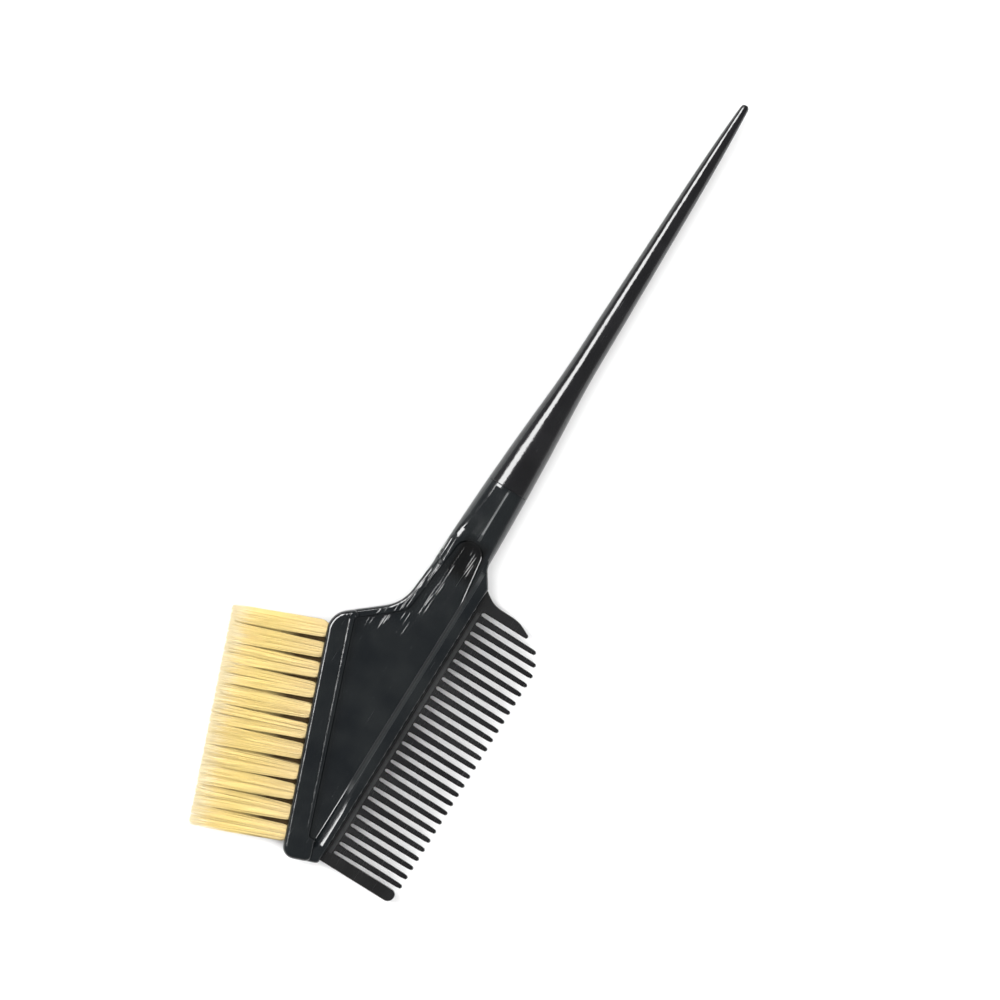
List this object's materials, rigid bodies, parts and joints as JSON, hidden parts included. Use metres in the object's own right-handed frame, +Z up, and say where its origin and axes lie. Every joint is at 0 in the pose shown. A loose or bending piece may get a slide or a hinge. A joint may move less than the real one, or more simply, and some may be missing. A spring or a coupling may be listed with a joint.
{
  "type": "hair tint brush",
  "caption": "Flat hair-tint brush with a tapering tail, a tilted bristle bar on one side of its trayed head and a fine comb on the other.",
  "frame": {"origin": "bottom centre of the bounding box, under the brush as it lies flat on a table", "axes": "+Y along the tail to its tip, +X to the comb side, +Z up off the table; the bristles are on the -X side"},
  "size_m": [0.0764, 0.2348, 0.009],
  "materials": {
    "tail_plastic": "gloss, faint long scuffs",
    "head_plastic": "gloss",
    "comb_plastic": "satin gloss",
    "teeth_plastic": "satin gloss",
    "bristles": "pale yellow nylon filament, satin",
    "anchor_wire": "drawn flat wire"
  },
  "bodies": {
    "root": {"tail": "tail_plastic", "head": "head_plastic", "comb_spine": "comb_plastic", "comb_teeth": "teeth_plastic", "tuft_front_01": "bristles", "anchor_front_01": "anchor_wire", "tuft_front_02": "bristles", "anchor_front_02": "anchor_wire", "tuft_front_03": "bristles", "anchor_front_03": "anchor_wire", "tuft_front_04": "bristles", "anchor_front_04": "anchor_wire", "tuft_front_05": "bristles", "anchor_front_05": "anchor_wire", "tuft_front_06": "bristles", "anchor_front_06": "anchor_wire", "tuft_front_07": "bristles", "anchor_front_07": "anchor_wire", "tuft_front_08": "bristles", "anchor_front_08": "anchor_wire", "tuft_front_09": "bristles", "anchor_front_09": "anchor_wire", "tuft_front_10": "bristles", "anchor_front_10": "anchor_wire", "tuft_front_11": "bristles", "anchor_front_11": "anchor_wire", "tuft_back_01": "bristles", "anchor_back_01": "anchor_wire", "tuft_back_02": "bristles", "anchor_back_02": "anchor_wire", "tuft_back_03": "bristles", "anchor_back_03": "anchor_wire", "tuft_back_04": "bristles", "anchor_back_04": "anchor_wire", "tuft_back_05": "bristles", "anchor_back_05": "anchor_wire", "tuft_back_06": "bristles", "anchor_back_06": "anchor_wire", "tuft_back_07": "bristles", "anchor_back_07": "anchor_wire", "tuft_back_08": "bristles", "anchor_back_08": "anchor_wire", "tuft_back_09": "bristles", "anchor_back_09": "anchor_wire", "tuft_back_10": "bristles", "anchor_back_10": "anchor_wire"}
  },
  "joints": []
}
